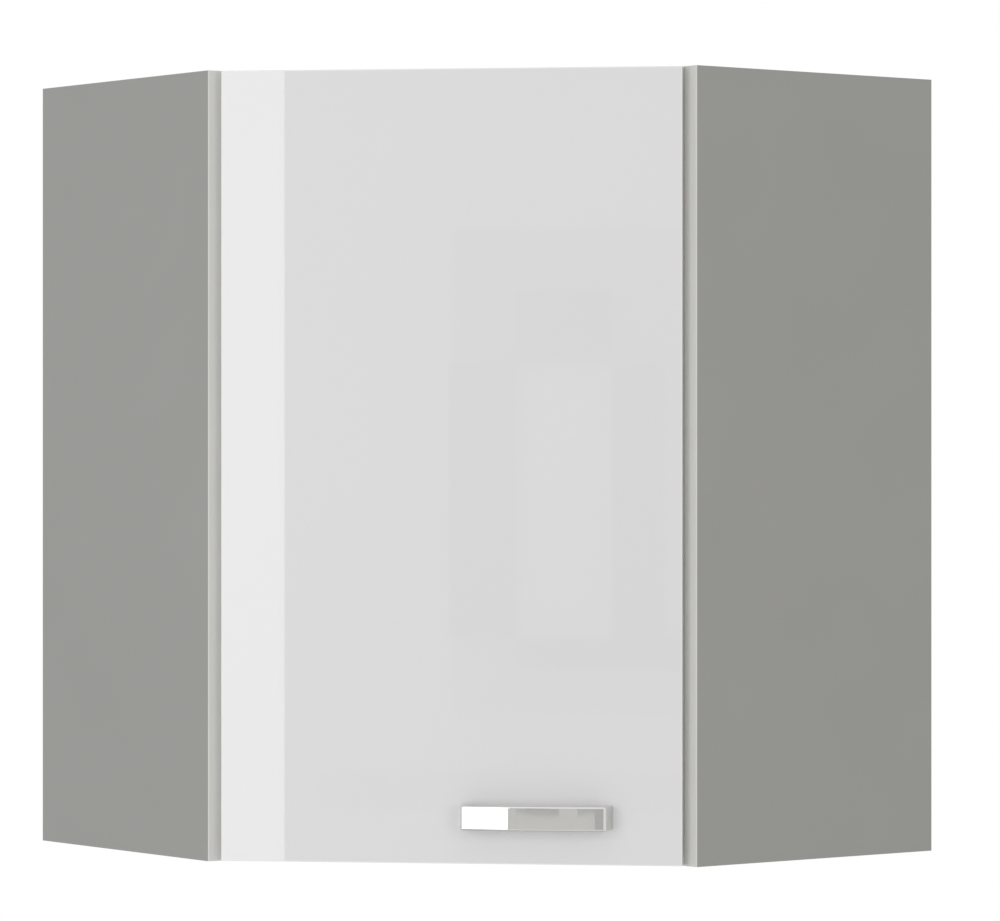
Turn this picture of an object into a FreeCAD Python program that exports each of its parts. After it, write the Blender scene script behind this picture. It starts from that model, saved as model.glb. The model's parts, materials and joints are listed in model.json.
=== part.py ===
"""Diagonal corner wall cabinet: a five-sided chipboard carcass for a room corner, with one gloss door.

Frame, in millimetres: the origin is where the two wall planes meet, level with the cabinet's underside.
+X runs along the back wall, -Y along the left wall and +Z up.
The door looks along +X -Y, at 45 degrees to both walls.
The door and its hinges are drawn in the front frame: u to the right along the door, v into the cabinet, z up.
Its zero is midway between the outer front corners of the two sides.
"""

import math
import os

from FreeCAD import Placement, Rotation, Vector
import Part

# Carcass
wall_length = 600.0  # room corner to the outer face of each side
side_depth = 285.0  # wall to the front edge of each side
cabinet_height = 720.0
board = 18.0  # laminated chipboard
edge_band = 1.0  # strip glued on every front edge
band_rounding = 0.7
overrun = 5.0  # how far a cutting tool runs past the face that it opens

# Back
back_board = 3.0  # lacquered fibreboard
groove_depth = 6.0
groove_play = 0.1  # each side of the fibreboard
groove_end_play = 0.5
post_width = 90.0  # corner posts, which carry the fibreboard at the room corner

# Shelves
shelf_play = 1.0  # to the sides and the fibreboard
shelf_setback = 22.0  # behind the front edge of the top and bottom
shelf_pin_setback = 60.0  # from the front and rear edges of a side
shelf_pin_radius = 2.5
shelf_pin_depth = 8.0  # length in the board
shelf_pin_spade_length = 8.0
shelf_pin_spade_width = 9.0
shelf_pin_spade_thickness = 3.0
shelf_hole_play = 0.05
shelf_hole_end_play = 1.0
shelf_hole_pitch = 32.0
shelf_hole_steps = (-1, 0, 1)  # a spare hole below and above each pin

# Carcass fittings
cam_radius = 7.5
cam_height = 13.5
cam_inset = 24.0  # cam centre from the end of the board
cam_setback = 70.0  # from the front and rear edges of a side
cam_slot_width = 1.6
cam_slot_depth = 1.5
bolt_radius = 3.0
bolt_grip = 11.0  # length screwed into the side
dowel_radius = 4.0
dowel_length = 30.0
dowel_spacing = 35.0  # from the cam bolt beside it
fitting_play = 0.1
post_screw_radius = 2.5
post_screw_length = 50.0
post_screw_head_radius = 4.5
post_screw_head_height = 3.0
post_screw_inset = 22.0  # from the edges of a post

# Wall hangers
hanger_width = 18.0  # out from the side
hanger_depth = 46.0  # away from the wall
hanger_height = 62.0
hanger_drop = 6.0  # below the top board
hanger_back_play = 0.5
hanger_rounding = 2.0
hanger_peg_radius = 5.0
hanger_peg_length = 10.0
hanger_peg_spacing = 36.0
hook_thickness = 3.0
hook_play = 0.3
hook_travel = 5.0  # height adjustment each way
hook_plate_depth = 28.0
hook_plate_height = 38.0
hook_tongue_height = 12.0
hook_wall_gap = 4.0  # tip of the hook to the wall plane
hook_lip_depth = 5.0
hook_lip_drop = 14.0
adjuster_radius = 3.5
adjuster_stand = 2.0
adjuster_depth = 8.0
adjuster_spacing = 30.0
notch_play = 6.0

# Door
door_thickness = 16.0
door_cover = 0.3  # past the inner front corner of each side, which lies behind the door
door_end_play = 1.0  # below and above
door_proud = 4.0  # front face ahead of the outer front corners of the sides
door_gap = 3.2  # behind the door, which its hinge side needs to swing
bumper_radius = 4.0
bumper_play = 0.1
bumper_inset = 12.0

# Handle
handle_from_right = 132.2  # handle centre from the right edge of the door
handle_from_below = 43.0  # handle centre from the bottom edge of the door
handle_screw_spacing = 128.0
handle_front_length = 131.5
handle_foot_length = 140.0
handle_foot_thickness = 9.0
handle_bar_thickness = 5.0
handle_projection = 28.0
handle_bow = 6.0  # how far the middle of the bar stands ahead of its ends
handle_bar_height = 22.4
handle_corner_rounding = 3.0
handle_edge_rounding = 2.0
handle_screw_radius = 2.0
handle_screw_grip = 12.0
handle_screw_head_radius = 4.0
handle_screw_head_height = 2.4
handle_screw_play = 0.2
thread_play = 0.05

# Hinges
hinge_from_end = 100.0  # hinge centre from the underside and from the top
cup_radius = 17.5
cup_depth = 12.8
cup_wall = 0.9
cup_floor = 0.7
cup_edge_distance = 3.0
cup_bore_play = 0.1
flange_thickness = 1.2
flange_rim = 1.2
flange_height = 62.0
flange_width = 26.0
flange_rounding = 7.0
cup_screw_spacing = 48.0
cup_screw_offset = 6.0  # from the cup centre, away from the door edge
cup_screw_radius = 1.75
cup_screw_length = 11.0
cup_screw_head_radius = 3.3
cup_screw_head_height = 1.6
hinge_pin_radius = 1.5
hinge_pin_play = 0.06
hinge_pin_from_edge = 8.0
hinge_pin_end = 0.5  # beyond each cheek
eye_radius = 2.4
eye_floor_gap = 0.3
cheek_gap = 0.7
cheek_thickness = 2.0
cheek_width = 8.0
cheek_height = 6.0
arm_thickness = 2.0
arm_width = 11.0
arm_lift = 7.0  # middle of the cranked run behind the door
neck_gap = 2.6  # upright of the neck to the far wall of the cup
channel_wall = 1.5
channel_drop = 7.0
channel_setback = 8.0  # behind the bend
plate_setback = 45.0  # plate centre from the front edge of the side
plate_base = 2.0
plate_base_width = 18.0
plate_base_height = 46.0
plate_rounding = 4.5
plate_rise = 11.0
plate_rib_length = 36.0
plate_rib_play = 0.1
plate_screw_spacing = 32.0
plate_screw_radius = 2.5
plate_screw_length = 12.0
plate_screw_head_radius = 4.0
plate_screw_head_height = 1.5
arm_screw_spacing = 18.0
arm_screw_radius = 1.6
arm_screw_grip = 6.0
arm_screw_head_radius = 3.2
arm_screw_head_height = 1.5
screw_slot_width = 0.9
screw_slot_depth_share = 0.5  # of the head's height

# Worked out from the sizes above
root2 = math.sqrt(2)
UP = Vector(0, 0, 1)
inner_wall = wall_length - board  # room corner to the inner face of a side
post = board
back_face = post + back_board  # wall plane to the inner face of the fibreboard
room_low = board
room_high = cabinet_height - board
front_width = (wall_length - side_depth) * root2  # between the outer front corners
inner_front_width = front_width - board * root2
door_width = inner_front_width + 2 * door_cover
door_back = door_thickness - door_proud  # v of the door's rear face
carcass_front = door_back + door_gap  # v of the front edge of the top and bottom
front_sum = wall_length + side_depth  # x - y on the line through the outer front corners
front_frame = Placement(Vector(front_sum / 2, -front_sum / 2, 0), Rotation(UP, 45))
hinge_heights = {"lower": hinge_from_end, "upper": cabinet_height - hinge_from_end}
shelf_clear = (room_high - room_low - 2 * board) / 3
shelf_floors = {
    "lower": room_low + shelf_clear,
    "upper": room_low + 2 * shelf_clear + board,
}


def box(x0, x1, y0, y1, z0, z1):
    """A block between two corners."""
    return Part.makeBox(x1 - x0, y1 - y0, z1 - z0, Vector(x0, y0, z0))


def prism(outline, z0, z1):
    """A plan outline raised from one height to another."""
    loop = [Vector(x, y, z0) for x, y in outline]
    return Part.Face(Part.makePolygon(loop + loop[:1])).extrude(Vector(0, 0, z1 - z0))


def rod(start, direction, radius, length):
    """A round bar from a point along a direction."""
    return Part.makeCylinder(radius, length, start, direction)


def on_front(shape):
    """Carries a shape from the front frame to the cabinet's frame."""
    placed = shape.copy()
    placed.Placement = front_frame.multiply(placed.Placement)
    return placed


def mirrored(shape):
    """The same shape on the other side of the plane through the room corner and the middle of the door."""
    return shape.mirror(Vector(0, 0, 0), Vector(1, 1, 0))


def joined(shapes):
    """One solid from touching shapes."""
    return shapes[0].fuse(shapes[1:]).removeSplitter()


def upright_edges(shape):
    """The straight edges along z."""
    boxes = [(edge, edge.BoundBox) for edge in shape.Edges]
    return [edge for edge, span in boxes if span.ZLength > span.XLength + span.YLength]


def edges_near(shape, test):
    """The edges whose middle point passes a test."""
    return [e for e in shape.Edges if test(e.valueAt((e.FirstParameter + e.LastParameter) / 2))]


def slotted_head(seat, direction, radius, height):
    """A round screw head standing on its seat, with one driver slot."""
    head = rod(seat, direction, radius, height)
    depth = height * screw_slot_depth_share
    slot = Part.makeBox(2 * (radius + overrun), screw_slot_width, depth + overrun)
    slot.translate(Vector(-radius - overrun, -screw_slot_width / 2, 0))
    turned = Placement(seat + direction * (height - depth), Rotation(UP, direction))
    slot.Placement = turned.multiply(slot.Placement)
    return head.cut(slot)


def write(name, *solids):
    """Writes one node, as one solid or a group of separate solids."""
    shape = solids[0] if len(solids) == 1 else Part.makeCompound(list(solids))
    for solid in shape.Solids:
        assert solid.isValid() and solid.Volume > 0, name
    shape.exportStep(os.path.join("parts", name + ".step"))
    print(f"{name}: {len(shape.Solids)} solid, {shape.Volume / 1000:.2f} cm3")


# Fittings between a side and the boards that meet it, on the right; the left ones are their mirror image


def cam_places():
    """Where a cam joint sits along the right side, at the bottom and at the top."""
    for y in (-cam_setback, -(side_depth - cam_setback)):
        for face, into in ((room_low, -UP), (room_high, UP)):
            yield y, face, into


def bolt_centre(y, face, into):
    """A point on the joint plane, in the middle of the board."""
    return Vector(inner_wall, y, face) + into * (board / 2)


def cam(y, face, into, play=0.0):
    seat = Vector(inner_wall - cam_inset, y, face)
    return rod(seat, into, cam_radius + play, cam_height + play)


def cam_bolt(y, face, into, play=0.0):
    start = bolt_centre(y, face, into) - Vector(cam_inset, 0, 0)
    return rod(start, Vector(1, 0, 0), bolt_radius + play, cam_inset + bolt_grip + play)


def dowel(y, face, into, play=0.0):
    towards_middle = math.copysign(dowel_spacing, y + side_depth / 2)
    centre = bolt_centre(y - towards_middle, face, into)
    start = centre - Vector(dowel_length / 2 + play, 0, 0)
    return rod(start, Vector(1, 0, 0), dowel_radius + play, dowel_length + 2 * play)


def finished_cam(y, face, into):
    """A cam with the bolt's passage and a driver slot in its face."""
    slot_half = cam_slot_width / 2
    x = inner_wall - cam_inset
    slot_end = face + into.z * cam_slot_depth
    low, high = sorted((face, slot_end))
    slot = box(x - cam_radius, x + cam_radius, y - slot_half, y + slot_half, low, high)
    return cam(y, face, into).cut([cam_bolt(y, face, into, fitting_play), slot])


def shelf_pin_places(floor):
    """Pins on the right, each with its way into the board: two on the side and one on the corner post."""
    z = floor - shelf_pin_radius
    for y in (-shelf_pin_setback, -(side_depth - shelf_pin_setback)):
        yield Vector(inner_wall, y, z), Vector(1, 0, 0)
    yield Vector((post_width + back_face) / 2, -back_face, z), Vector(0, 1, 0)


def shelf_pin(face_point, into):
    """A peg with a flat spade whose top carries the shelf."""
    tip = face_point - into * shelf_pin_spade_length
    peg = rod(tip, into, shelf_pin_radius, shelf_pin_spade_length + shelf_pin_depth)
    top = face_point.z + shelf_pin_radius
    across = Vector(into.y, into.x, 0) * (shelf_pin_spade_width / 2)
    corners = [face_point + across, face_point - across, tip - across, tip + across]
    spade = prism([(c.x, c.y) for c in corners], top - shelf_pin_spade_thickness, top)
    return joined([peg, spade])


def shelf_holes(floor):
    """The pins' holes on the right, with the spare ones above and below."""
    for face_point, into in shelf_pin_places(floor):
        for step in shelf_hole_steps:
            start = face_point + UP * (step * shelf_hole_pitch) - into * shelf_hole_end_play
            length = shelf_pin_depth + 2 * shelf_hole_end_play
            yield rod(start, into, shelf_pin_radius + shelf_hole_play, length)


all_shelf_holes = [hole for floor in shelf_floors.values() for hole in shelf_holes(floor)]
all_cam_places = list(cam_places())

# Wall hanger on the right

hanger_rear = -back_face - hanger_back_play
hanger_front = hanger_rear - hanger_depth
hanger_top = room_high - hanger_drop
hanger_foot = hanger_top - hanger_height
hanger_middle = (hanger_foot + hanger_top) / 2
hook_x = inner_wall - hanger_width / 2
hook_low = hanger_middle - hook_plate_height / 2
hook_high = hanger_middle + hook_plate_height / 2


def hanger_pegs(play=0.0):
    y = (hanger_rear + hanger_front) / 2
    for z in (hanger_middle - hanger_peg_spacing / 2, hanger_middle + hanger_peg_spacing / 2):
        seat = Vector(inner_wall, y, z)
        yield rod(seat, Vector(1, 0, 0), hanger_peg_radius + play, hanger_peg_length + play)


def adjuster_seats():
    for z in (hanger_middle - adjuster_spacing / 2, hanger_middle + adjuster_spacing / 2):
        yield Vector(hook_x, hanger_front, z)


def adjuster_shank(seat, play=0.0):
    return rod(seat, Vector(0, 1, 0), adjuster_radius + play, adjuster_depth + play)


def adjuster(seat):
    """A slotted screw in the front of the hanger, for height or depth."""
    head = slotted_head(seat, Vector(0, -1, 0), adjuster_radius, adjuster_stand)
    return joined([adjuster_shank(seat), head])


def hanger_body():
    """The housing: a block with a slot in which the hook rises and falls."""
    body = box(inner_wall - hanger_width, inner_wall, hanger_front, hanger_rear, hanger_foot, hanger_top)
    free_side = edges_near(body, lambda p: p.x < inner_wall - hanger_width / 2)
    body = body.makeFillet(hanger_rounding, [e for e in free_side if e.BoundBox.YLength > hanger_depth / 2])
    slot_half = hook_thickness / 2 + hook_play
    slot = box(
        hook_x - slot_half,
        hook_x + slot_half,
        hanger_rear - hook_plate_depth - hook_play,
        hanger_rear + overrun,
        hook_low - hook_travel - hook_play,
        hook_high + hook_travel + hook_play,
    )
    sockets = [adjuster_shank(seat, fitting_play) for seat in adjuster_seats()]
    return joined([body.cut([slot] + sockets)] + list(hanger_pegs()))


def hanger_hook():
    """A steel plate in the slot, a tongue through the fibreboard and a lip for the wall rail."""
    plate_front = hanger_rear - hook_plate_depth
    tip = -hook_wall_gap
    outline = [
        (plate_front, hook_low),
        (hanger_rear, hook_low),
        (hanger_rear, hook_high - hook_tongue_height),
        (tip - hook_lip_depth, hook_high - hook_tongue_height),
        (tip - hook_lip_depth, hook_high - hook_tongue_height - hook_lip_drop),
        (tip, hook_high - hook_tongue_height - hook_lip_drop),
        (tip, hook_high),
        (plate_front, hook_high),
    ]
    x = hook_x - hook_thickness / 2
    loop = [Vector(x, y, z) for y, z in outline]
    return Part.Face(Part.makePolygon(loop + loop[:1])).extrude(Vector(hook_thickness, 0, 0))


# Carcass boards


def side_band():
    """The front edge of the right side, with its two long corners eased."""
    band = box(inner_wall, wall_length, -side_depth, -side_depth + edge_band, 0, cabinet_height)
    front = [e for e in upright_edges(band) if e.Vertexes[0].Y < -side_depth + edge_band / 2]
    return band.makeFillet(band_rounding, front)


def groove_tools():
    """The fibreboard's grooves on the right: in the side, in the bottom and in the top."""
    near, far = -post + groove_play, -back_face - groove_play
    start, end = post - groove_play, inner_wall + overrun
    face, floor = inner_wall - overrun, inner_wall + groove_depth
    upright = box(face, floor, far, near, -overrun, cabinet_height + overrun)
    low = box(start, end, far, near, room_low - groove_depth, room_low + overrun)
    high = box(start, end, far, near, room_high - overrun, room_high + groove_depth)
    return upright, low, high


def side_panel():
    """The right side, before the hinge plates' holes that only the left one has."""
    panel = box(inner_wall, wall_length, -side_depth + edge_band, 0, 0, cabinet_height)
    tools = [groove_tools()[0], *hanger_pegs(fitting_play), *all_shelf_holes]
    for place in all_cam_places:
        tools += [cam_bolt(*place, fitting_play), dowel(*place, fitting_play)]
    return panel.cut(tools)


def floor_outline(front_v, reach, rear):
    """A five-sided plan: rear edges along the walls, side edges at reach, and the front edge at a depth v."""
    front_line = front_sum - front_v * root2
    right, left = (reach, reach - front_line), (front_line - reach, -reach)
    return [(rear, -rear), (reach, -rear), right, left, (rear, -reach)]


def front_strip(front_v, reach, z0, z1):
    """The edge band along a diagonal front edge."""
    outer, inner = floor_outline(front_v, reach, 0), floor_outline(front_v + edge_band, reach, 0)
    return prism([outer[2], outer[3], inner[3], inner[2]], z0, z1)


def post_screw_sites():
    """Screws through the top and bottom into the corner posts."""
    half = post / 2
    right = [(post_screw_inset, -half), (post_width - post_screw_inset, -half)]
    left = [(half, -post - post_screw_inset), (half, -post_width + post_screw_inset)]
    for x, y in right + left:
        yield Vector(x, y, 0), UP
        yield Vector(x, y, cabinet_height), -UP


def post_screw_bore(mouth, into):
    """The screw's hole, with a wider mouth that takes its head flush."""
    hole = rod(mouth, into, post_screw_radius + fitting_play, post_screw_length + fitting_play)
    mouth_depth = post_screw_head_height + fitting_play
    return joined([hole, rod(mouth, into, post_screw_head_radius + fitting_play, mouth_depth)])


def post_screw(mouth, into):
    seat = mouth + into * post_screw_head_height
    shank = rod(seat, into, post_screw_radius, post_screw_length - post_screw_head_height)
    return joined([shank, slotted_head(seat, -into, post_screw_head_radius, post_screw_head_height)])


def end_board(z0, z1, groove):
    """The top or the bottom: one outline, grooved and drilled on its inner face."""
    blank = prism(floor_outline(carcass_front + edge_band, inner_wall, 0), z0, z1)
    tools = [groove, mirrored(groove)]
    for place in all_cam_places:
        for tool in (cam(*place, fitting_play), cam_bolt(*place, fitting_play), dowel(*place, fitting_play)):
            tools += [tool, mirrored(tool)]
    tools += [post_screw_bore(*site) for site in post_screw_sites()]
    return blank.cut(tools)


def fibreboard_right():
    """The board along the back wall, notched at the top for the hanger's hook."""
    low, high = room_low - groove_depth + groove_end_play, room_high + groove_depth - groove_end_play
    sheet = box(post, inner_wall + groove_depth - groove_end_play, -back_face, -post, low, high)
    notch = box(
        inner_wall - hanger_width - notch_play,
        wall_length,
        -back_face - overrun,
        -post + overrun,
        hanger_foot - notch_play,
        high + overrun,
    )
    return sheet.cut([notch] + all_shelf_holes)


def fibreboard_left():
    """The same board along the left wall, cut back where it meets the other one in the corner."""
    corner = box(post - overrun, post_width, -back_face - groove_play, 0, -overrun, cabinet_height + overrun)
    return mirrored(fibreboard_right()).cut(corner)


def shelf(floor):
    front = carcass_front + shelf_setback + edge_band
    outline = floor_outline(front, inner_wall - shelf_play, back_face + shelf_play)
    return prism(outline, floor, floor + board)


def write_carcass():
    right_side = side_panel()
    plate_holes = [plate_screw_shank(place, thread_play) for place in plate_screw_places()]
    write("right_side_panel", right_side)
    write("left_side_panel", mirrored(right_side).cut(plate_holes))
    write("right_side_edge_band", side_band())
    write("left_side_edge_band", mirrored(side_band()))
    _, low_groove, high_groove = groove_tools()
    write("bottom_panel", end_board(0, room_low, low_groove))
    write("top_panel", end_board(room_high, cabinet_height, high_groove))
    write("bottom_edge_band", front_strip(carcass_front, inner_wall, 0, room_low))
    write("top_edge_band", front_strip(carcass_front, inner_wall, room_high, cabinet_height))
    drilled = all_shelf_holes + [mirrored(hole) for hole in all_shelf_holes]
    drilled += [post_screw_bore(*site) for site in post_screw_sites()]
    write("right_corner_post", box(0, post_width, -post, 0, room_low, room_high).cut(drilled))
    write("left_corner_post", box(0, post, -post_width, -post, room_low, room_high).cut(drilled))
    write("right_back_board", fibreboard_right())
    write("left_back_board", fibreboard_left())
    for name, floor in shelf_floors.items():
        write(f"{name}_shelf", shelf(floor))
        strip = front_strip(carcass_front + shelf_setback, inner_wall - shelf_play, floor, floor + board)
        write(f"{name}_shelf_edge_band", strip)
        pins = [shelf_pin(*place) for place in shelf_pin_places(floor)]
        write(f"{name}_shelf_pins", *pins, *[mirrored(p) for p in pins])


def write_fittings():
    cams = [finished_cam(*place) for place in all_cam_places]
    bolts = [cam_bolt(*place) for place in all_cam_places]
    dowels = [dowel(*place) for place in all_cam_places]
    for name, right in (("cam_locks", cams), ("cam_bolts", bolts), ("wooden_dowels", dowels)):
        write(name, *right, *[mirrored(s) for s in right])
    write("corner_post_screws", *[post_screw(*site) for site in post_screw_sites()])
    adjusters = [adjuster(seat) for seat in adjuster_seats()]
    write("hanger_adjusters", *adjusters, *[mirrored(s) for s in adjusters])
    write("right_hanger_body", hanger_body())
    write("left_hanger_body", mirrored(hanger_body()))
    write("right_hanger_hook", hanger_hook())
    write("left_hanger_hook", mirrored(hanger_hook()))


# Door, in the front frame

door_left, door_right = -door_width / 2, door_width / 2
door_front = -door_proud
door_low, door_high = door_end_play, cabinet_height - door_end_play
handle_u = door_right - handle_from_right
handle_z = door_low + handle_from_below
INTO = Vector(0, 1, 0)  # into the cabinet
OUT = Vector(0, -1, 0)  # towards the room
handle_screw_places = [
    Vector(handle_u + side * handle_screw_spacing / 2, door_back, handle_z) for side in (-1, 1)
]


def door_bands():
    """Four strips round the door, eased where they meet its front face."""
    whole = box(door_left, door_right, door_front, door_back, door_low, door_high)
    rim = edges_near(whole, lambda p: abs(p.y - door_front) < band_rounding)
    whole = whole.makeFillet(band_rounding, rim)
    inside_left, inside_right = door_left + edge_band, door_right - edge_band
    inside_low, inside_high = door_low + edge_band, door_high - edge_band
    front, back = door_front - overrun, door_back + overrun
    ring = whole.cut(box(inside_left, inside_right, front, back, inside_low, inside_high))
    left, right = door_left - overrun, door_right + overrun
    for block in (
        box(left, inside_left, front, back, door_low - overrun, door_high + overrun),
        box(inside_right, right, front, back, door_low - overrun, door_high + overrun),
        box(inside_left, inside_right, front, back, door_low - overrun, inside_low),
        box(inside_left, inside_right, front, back, inside_high, door_high + overrun),
    ):
        yield ring.common(block)


def door_panel():
    core = box(
        door_left + edge_band,
        door_right - edge_band,
        door_front,
        door_back,
        door_low + edge_band,
        door_high - edge_band,
    )
    tools = []
    for z in hinge_heights.values():
        mouth = Vector(cup_u, door_back, z)
        tools.append(rod(mouth, OUT, cup_radius + cup_bore_play, cup_depth + cup_bore_play))
        tools += [cup_screw_shank(z, side, thread_play) for side in (-1, 1)]
    through = door_thickness + 2 * overrun
    for place in handle_screw_places:
        tools.append(rod(place + INTO * overrun, OUT, handle_screw_radius + handle_screw_play, through))
    return core.cut(tools)


def handle():
    """A bowed flat bar on two feet that splay towards the door, tapped for its screws."""

    def arc(half_length, crown, bow):
        middle = Vector(handle_u, door_front - crown, 0)
        right = middle + Vector(half_length, bow, 0)
        left = middle + Vector(-half_length, bow, 0)
        return Part.Arc(right, middle, left).toShape(), right, left

    front_half, foot_half = handle_front_length / 2, handle_foot_length / 2
    gap_half = front_half - handle_foot_thickness
    gap_foot_half = foot_half - handle_foot_thickness
    gap_bow = handle_bow * (gap_half / front_half) ** 2
    outer, outer_right, outer_left = arc(front_half, handle_projection, handle_bow)
    inner, inner_right, inner_left = arc(gap_half, handle_projection - handle_bar_thickness, gap_bow)
    foot_places = (foot_half, -foot_half, -gap_foot_half, gap_foot_half)
    foot = [Vector(handle_u + place, door_front, 0) for place in foot_places]
    edges = [
        Part.makeLine(foot[0], outer_right),
        outer,
        Part.makeLine(outer_left, foot[1]),
        Part.makeLine(foot[1], foot[2]),
        Part.makeLine(foot[2], inner_left),
        inner,
        Part.makeLine(inner_right, foot[3]),
        Part.makeLine(foot[3], foot[0]),
    ]
    bar = Part.Face(Part.Wire(Part.__sortEdges__(edges))).extrude(Vector(0, 0, handle_bar_height))
    bar.translate(Vector(0, 0, handle_z - handle_bar_height / 2))
    ends = [e for e in upright_edges(bar) if door_front - e.Vertexes[0].Y > handle_bar_thickness]
    bar = bar.makeFillet(handle_corner_rounding, ends)
    off_door = [e for e in bar.Edges if e.BoundBox.YMin < door_front - handle_edge_rounding]
    level = [e for e in off_door if e.BoundBox.ZLength < handle_edge_rounding]
    bar = bar.makeFillet(handle_edge_rounding, level)
    tap_radius, tap_depth = handle_screw_radius + thread_play, handle_screw_grip + thread_play
    starts = [Vector(p.x, door_front, p.z) for p in handle_screw_places]
    return bar.cut([rod(start, OUT, tap_radius, tap_depth) for start in starts])


def handle_screw(place):
    shank = rod(place, OUT, handle_screw_radius, door_thickness + handle_screw_grip)
    return joined([shank, slotted_head(place, INTO, handle_screw_head_radius, handle_screw_head_height)])


def door_bumpers():
    for z in (board / 2, cabinet_height - board / 2):
        seat = Vector(door_right - bumper_inset, door_back, z)
        height = door_gap - bumper_play
        dot = rod(seat, INTO, bumper_radius, height)
        crown = [e for e in dot.Edges if e.BoundBox.YMin > door_back + height / 2]
        yield dot.makeFillet(height / 2, crown)


# Hinges, drawn in the front frame; the tail of the arm and the plate lie along the left side

cup_u = door_left + cup_edge_distance + cup_radius
cup_bore = cup_radius - cup_wall
pin_u = door_left + hinge_pin_from_edge
pin_v = door_back - (cup_depth - cup_floor - eye_floor_gap - eye_radius)
cheek_low = arm_width / 2 + cheek_gap
cheek_high = cheek_low + cheek_thickness
left_face = -inner_wall  # y of the left side's inner face
arm_y = left_face + plate_rise + arm_thickness / 2
plate_x = side_depth - plate_setback
FROM_LEFT_SIDE = Vector(0, 1, 0)
TO_LEFT_SIDE = Vector(0, -1, 0)


def hinge_pin(z):
    half = cheek_high + hinge_pin_end
    return rod(Vector(pin_u, pin_v, z - half), UP, hinge_pin_radius, 2 * half)


def cup_screw_seat(z, side):
    return Vector(cup_u + cup_screw_offset, door_back + flange_thickness, z + side * cup_screw_spacing / 2)


def cup_screw_shank(z, side, play=0.0):
    length = flange_thickness + cup_screw_length
    return rod(cup_screw_seat(z, side), OUT, cup_screw_radius + play, length + play)


def cup_screw(z, side):
    head = slotted_head(cup_screw_seat(z, side), INTO, cup_screw_head_radius, cup_screw_head_height)
    return joined([cup_screw_shank(z, side), head])


def hinge_cup(z):
    """A pressed cup with a screw flange and two cheeks that hold the pin."""
    mouth = Vector(cup_u, door_back, z)
    pot = rod(mouth, OUT, cup_radius, cup_depth)
    wing_u = cup_u + cup_screw_offset - flange_width / 2
    wing = box(
        wing_u,
        wing_u + flange_width,
        door_back,
        door_back + flange_thickness,
        z - flange_height / 2,
        z + flange_height / 2,
    )
    corners = [e for e in wing.Edges if e.BoundBox.YLength > flange_thickness / 2]
    wing = wing.makeFillet(flange_rounding, corners)
    rim = rod(mouth, INTO, cup_radius + flange_rim, flange_thickness)
    bore_length = cup_depth - cup_floor + flange_thickness + overrun
    bore = rod(mouth - INTO * (cup_depth - cup_floor), INTO, cup_bore, bore_length)
    screws = [cup_screw_shank(z, side, fitting_play) for side in (-1, 1)]
    shell = joined([pot, wing, rim]).cut([bore] + screws)
    solid_pot = rod(mouth, OUT, cup_radius - cup_wall / 2, cup_depth - cup_floor / 2)
    under = door_back - cup_depth
    cheek_top = under + cup_floor + cheek_height
    cheeks = []
    for low, high in ((cheek_low, cheek_high), (-cheek_high, -cheek_low)):
        block = box(door_left, pin_u + cheek_width / 2, under, cheek_top, z + low, z + high)
        cheeks.append(block.common(solid_pot))
    return joined([shell] + cheeks).cut(hinge_pin(z))


def bent_strip(points, thickness, z0, z1):
    """A flat strip standing on edge along a line of plan points, round at its bends."""
    pieces = []
    for a, b in zip(points, points[1:]):
        run = b - a
        across = UP.cross(run).normalize() * (thickness / 2)
        corners = [a + across, a - across, b - across, b + across]
        pieces.append(prism([(c.x, c.y) for c in corners], z0, z1))
    for bend in points[1:-1]:
        pieces.append(rod(Vector(bend.x, bend.y, z0), UP, thickness / 2, z1 - z0))
    return joined(pieces)


def arm_screw_places(z):
    y = left_face + plate_rise + arm_thickness
    for side in (-1, 1):
        yield Vector(plate_x + side * arm_screw_spacing / 2, y, z)


def arm_screw_shank(seat, play=0.0):
    return rod(seat, TO_LEFT_SIDE, arm_screw_radius + play, arm_thickness + arm_screw_grip + play)


def arm_screw(seat):
    head = slotted_head(seat, FROM_LEFT_SIDE, arm_screw_head_radius, arm_screw_head_height)
    return joined([arm_screw_shank(seat), head])


def hinge_arm(z):
    """One cranked strip: an eye on the pin, a neck out of the cup, a run behind the door and a channel."""
    low, high = z - arm_width / 2, z + arm_width / 2
    bar_v = pin_v - eye_radius + arm_thickness / 2
    neck_u = cup_u + cup_bore - neck_gap - arm_thickness / 2
    lift_v = door_back + arm_lift
    front_points = [Vector(u, v, 0) for u, v in ((pin_u, bar_v), (neck_u, bar_v), (neck_u, lift_v))]
    points = [front_frame.multVec(p) for p in front_points]
    along = front_frame.Rotation.multVec(Vector(-1, 0, 0))
    bend = points[-1] + along * ((arm_y - points[-1].y) / along.y)
    tail_x = plate_x - plate_rib_length / 2
    strip = bent_strip(points + [bend, Vector(tail_x, arm_y, 0)], arm_thickness, low, high)
    top = arm_y + arm_thickness / 2
    walls = [
        box(tail_x, bend.x - channel_setback, top - arm_thickness - channel_drop, top, z0, z1)
        for z0, z1 in ((low - channel_wall, low), (high, high + channel_wall))
    ]
    pin = front_frame.multVec(Vector(pin_u, pin_v, 0))
    eye = rod(Vector(pin.x, pin.y, low), UP, eye_radius, arm_width)
    bore_foot = Vector(pin.x, pin.y, low - overrun)
    bore = rod(bore_foot, UP, hinge_pin_radius + hinge_pin_play, arm_width + 2 * overrun)
    screws = [arm_screw_shank(seat, thread_play) for seat in arm_screw_places(z)]
    return joined([strip, eye] + walls).cut([bore] + screws)


def plate_screw_places():
    for z in hinge_heights.values():
        for side in (-1, 1):
            yield Vector(plate_x, left_face + plate_base, z + side * plate_screw_spacing / 2)


def plate_screw_shank(seat, play=0.0):
    return rod(seat, TO_LEFT_SIDE, plate_screw_radius + play, plate_base + plate_screw_length + play)


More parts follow.
